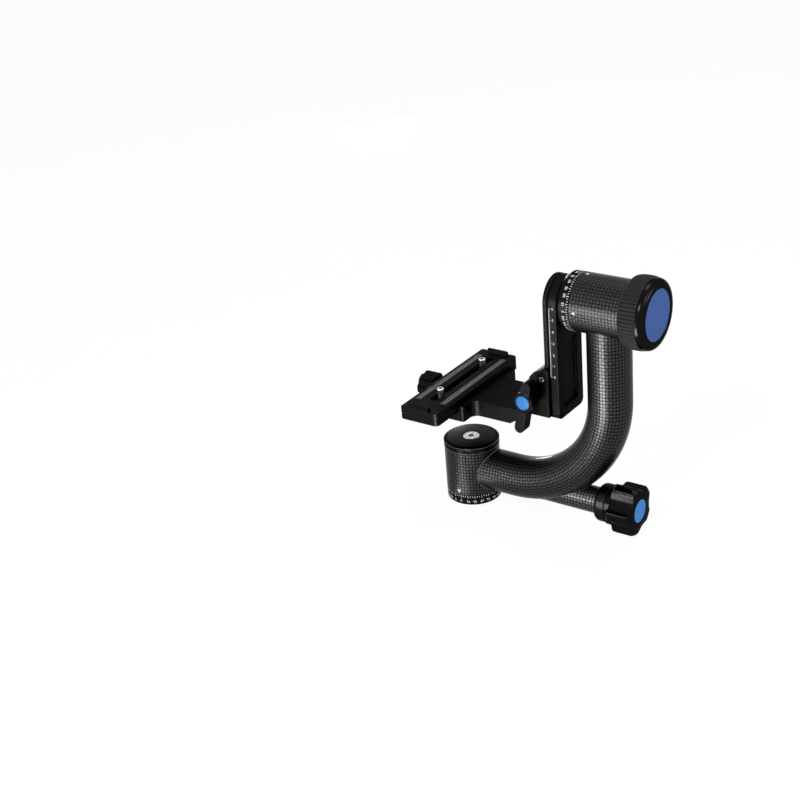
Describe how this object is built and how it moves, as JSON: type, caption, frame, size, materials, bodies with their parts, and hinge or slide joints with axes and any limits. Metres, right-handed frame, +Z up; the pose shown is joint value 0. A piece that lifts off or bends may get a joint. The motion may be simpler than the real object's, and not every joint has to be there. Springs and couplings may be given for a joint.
{
  "type": "gimbal tripod head",
  "caption": "Full gimbal head for a long lens: a panning column, a bent tube arm with a tilt hub, and a hanging cradle with a sliding platform, a quick release clamp and a lens plate.",
  "frame": {"origin": "on the pan axis, at the bottom face of the foot, where the tripod's stud enters", "axes": "+Z up along the pan axis; +X from the column towards the upright of the arm and along the tilt axis; a lens on the plate points along -Y"},
  "size_m": [0.2286, 0.1279, 0.234],
  "materials": {
    "satin_black_metal": "satin black anodised",
    "bright_steel": "bright turned steel",
    "bearing_steel": "ground steel",
    "carbon_weave": "clear-coated carbon fibre weave",
    "bronze": "plain bronze",
    "black_composite": "moulded, slightly rough",
    "light_blue_cap": "light blue satin",
    "black_rubber": "ribbed rubber",
    "deep_blue_metal": "deep blue satin anodised",
    "grey_rubber": "fine-ribbed rubber strip"
  },
  "bodies": {
    "base": {"base_flange": "satin_black_metal", "mount_bush": "bright_steel", "base_screws": "bright_steel", "pan_spindle": "bright_steel", "pan_inner_races": "bearing_steel", "pan_balls": "bearing_steel", "pan_spacer": "satin_black_metal", "spindle_washer": "bright_steel", "spindle_nut": "bright_steel"},
    "arm": {"column_liner": "satin_black_metal", "column_sleeve": "carbon_weave", "column_cap": "satin_black_metal", "cap_screw": "bright_steel", "arm_tube": "carbon_weave", "pan_boss": "carbon_weave", "boss_liner": "satin_black_metal", "boss_collar": "satin_black_metal", "hub_sleeve": "carbon_weave", "hub_liner": "satin_black_metal", "tilt_outer_races": "bearing_steel", "pan_outer_races": "bearing_steel", "friction_washer": "bronze"},
    "pan_shoe": {"pan_brake_shoe": "bronze"},
    "pan_knob": {"pan_knob": "black_composite", "pan_knob_cap": "light_blue_cap", "pan_lock_rod": "bright_steel"},
    "cradle": {"tilt_dial": "satin_black_metal", "tilt_spindle": "bright_steel", "swing_plate": "satin_black_metal", "spindle_screws": "bright_steel", "rail_stop_screw": "bright_steel", "tilt_inner_races": "bearing_steel", "tilt_balls": "bearing_steel", "tilt_spacer": "satin_black_metal"},
    "tilt_knob": {"tilt_knob_core": "satin_black_metal", "tilt_grip_ring": "black_rubber", "tilt_knob_bezel": "satin_black_metal", "tilt_knob_disc": "deep_blue_metal", "tilt_draw_screw": "bright_steel"},
    "platform": {"platform": "satin_black_metal"},
    "rail_jaw": {"rail_jaw": "satin_black_metal", "jaw_screw": "bright_steel", "jaw_guide_pins": "bright_steel"},
    "wing_knob": {"wing_knob": "satin_black_metal", "wing_knob_cap": "light_blue_cap", "wing_stud": "bright_steel"},
    "clamp_jaw": {"clamp_jaw": "satin_black_metal", "clamp_guide_pins": "bright_steel"},
    "clamp_knob": {"clamp_knob": "black_composite", "clamp_knob_cap": "light_blue_cap", "clamp_stud": "bright_steel"},
    "plate": {"lens_plate": "satin_black_metal", "plate_pads": "grey_rubber", "plate_stop_screws": "bright_steel", "lens_screws": "bright_steel"}
  },
  "joints": [
    {"name": "pan", "type": "hinge", "parent": "base", "child": "arm", "pos_m": [0, 0, 0.0267], "axis": [0, 0, 1], "continuous": true},
    {"name": "pan_brake", "type": "slide", "parent": "arm", "child": "pan_shoe", "axis": [1, 0, 0], "range_m": [0, 0.00075]},
    {"name": "pan_lock", "type": "hinge", "parent": "pan_shoe", "child": "pan_knob", "pos_m": [0.15, 0, 0.0246], "axis": [1, 0, 0], "range_deg": [0, 270]},
    {"name": "tilt", "type": "hinge", "parent": "arm", "child": "cradle", "pos_m": [0.136, 0, 0.20407], "axis": [1, 0, 0], "continuous": true},
    {"name": "tilt_lock", "type": "hinge", "parent": "arm", "child": "tilt_knob", "pos_m": [0.17, 0, 0.20407], "axis": [1, 0, 0], "range_deg": [0, 360]},
    {"name": "platform_lift", "type": "slide", "parent": "cradle", "child": "platform", "axis": [0, 0, 1], "range_m": [0, 0.058]},
    {"name": "rail_jaw_slide", "type": "slide", "parent": "platform", "child": "rail_jaw", "axis": [0, -1, 0], "range_m": [0, 0.0012]},
    {"name": "wing_turn", "type": "hinge", "parent": "rail_jaw", "child": "wing_knob", "pos_m": [0.0824, -0.034, 0.1262], "axis": [0, -1, 0], "range_deg": [0, 360]},
    {"name": "clamp_jaw_slide", "type": "slide", "parent": "platform", "child": "clamp_jaw", "axis": [-1, 0, 0], "range_m": [0, 0.0024]},
    {"name": "clamp_turn", "type": "hinge", "parent": "clamp_jaw", "child": "clamp_knob", "pos_m": [-0.0367, 0, 0.0972], "axis": [-1, 0, 0], "range_deg": [0, 360]},
    {"name": "plate_slide", "type": "slide", "parent": "platform", "child": "plate", "axis": [0, 1, 0], "range_m": [-0.0035, 0.021]}
  ],
  "couplings": [
    {"joint": "pan_brake", "follows": "pan_lock", "m_per_rad": 0.000159},
    {"joint": "rail_jaw_slide", "follows": "wing_turn", "m_per_rad": 0.000159},
    {"joint": "clamp_jaw_slide", "follows": "clamp_turn", "m_per_rad": 0.000318}
  ]
}
